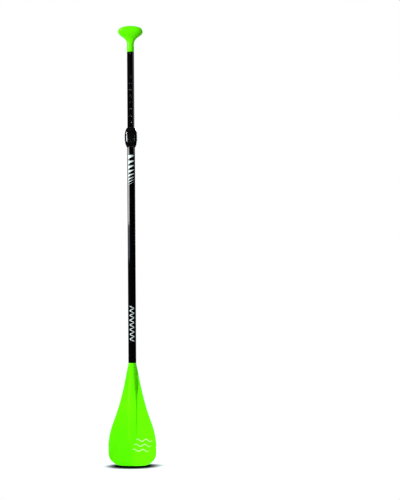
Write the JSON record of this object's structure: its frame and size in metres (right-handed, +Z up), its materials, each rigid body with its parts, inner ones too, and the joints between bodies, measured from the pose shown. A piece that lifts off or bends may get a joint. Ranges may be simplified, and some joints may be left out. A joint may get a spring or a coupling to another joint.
{
  "type": "single blade paddle",
  "caption": "Adjustable paddle: a raked, spooned blade with a front rib, a telescoping round tube shaft with a lever clamp, and a palm grip.",
  "frame": {"origin": "on the shaft axis, halfway between the blade's shoulder and the clamp's foot", "axes": "+Z up the shaft towards the grip, X across the blade, -Y to the blade's ribbed front, where the lever and the adjustment holes are"},
  "size_m": [0.189, 0.0734, 1.7359],
  "materials": {
    "lime_moulding": "satin injection-moulded nylon",
    "lime_grip": "satin moulded grip",
    "black_tube": "black coated tube, satin",
    "clamp_black": "glossy black moulding",
    "lever_black": "glossy black moulding",
    "bare_aluminium": "bare aluminium",
    "stainless": "polished stainless steel",
    "black_screw": "black oxide steel",
    "grey_foam": "closed-cell foam",
    "black_nylon": "moulded nylon"
  },
  "bodies": {
    "shaft": {"blade": "lime_moulding", "blade_screw": "black_screw", "blade_tube": "black_tube", "ferrule": "bare_aluminium", "ferrule_plug": "grey_foam", "middle_tube": "black_tube", "clamp_collar": "clamp_black", "collar_rivet": "stainless", "lever_pin": "stainless"},
    "button": {"snap_button": "stainless", "button_spring": "stainless"},
    "lever": {"clamp_lever": "lever_black", "lock_pin": "stainless"},
    "extension": {"extension_tube": "black_tube", "guide_plug": "black_nylon", "palm_grip": "lime_grip", "grip_screw": "black_screw"}
  },
  "joints": [
    {"name": "length_adjust", "type": "slide", "parent": "shaft", "child": "extension", "axis": [0, 0, 1], "range_m": [-0.2286, 0.2286]},
    {"name": "lever_hinge", "type": "hinge", "parent": "shaft", "child": "lever", "pos_m": [0, -0.021, 0.448], "axis": [1, 0, 0], "range_deg": [0, 100]},
    {"name": "snap_button", "type": "slide", "parent": "shaft", "child": "button", "axis": [0, -1, 0], "range_m": [0, 0.003], "stiffness_N_per_m": 400}
  ]
}
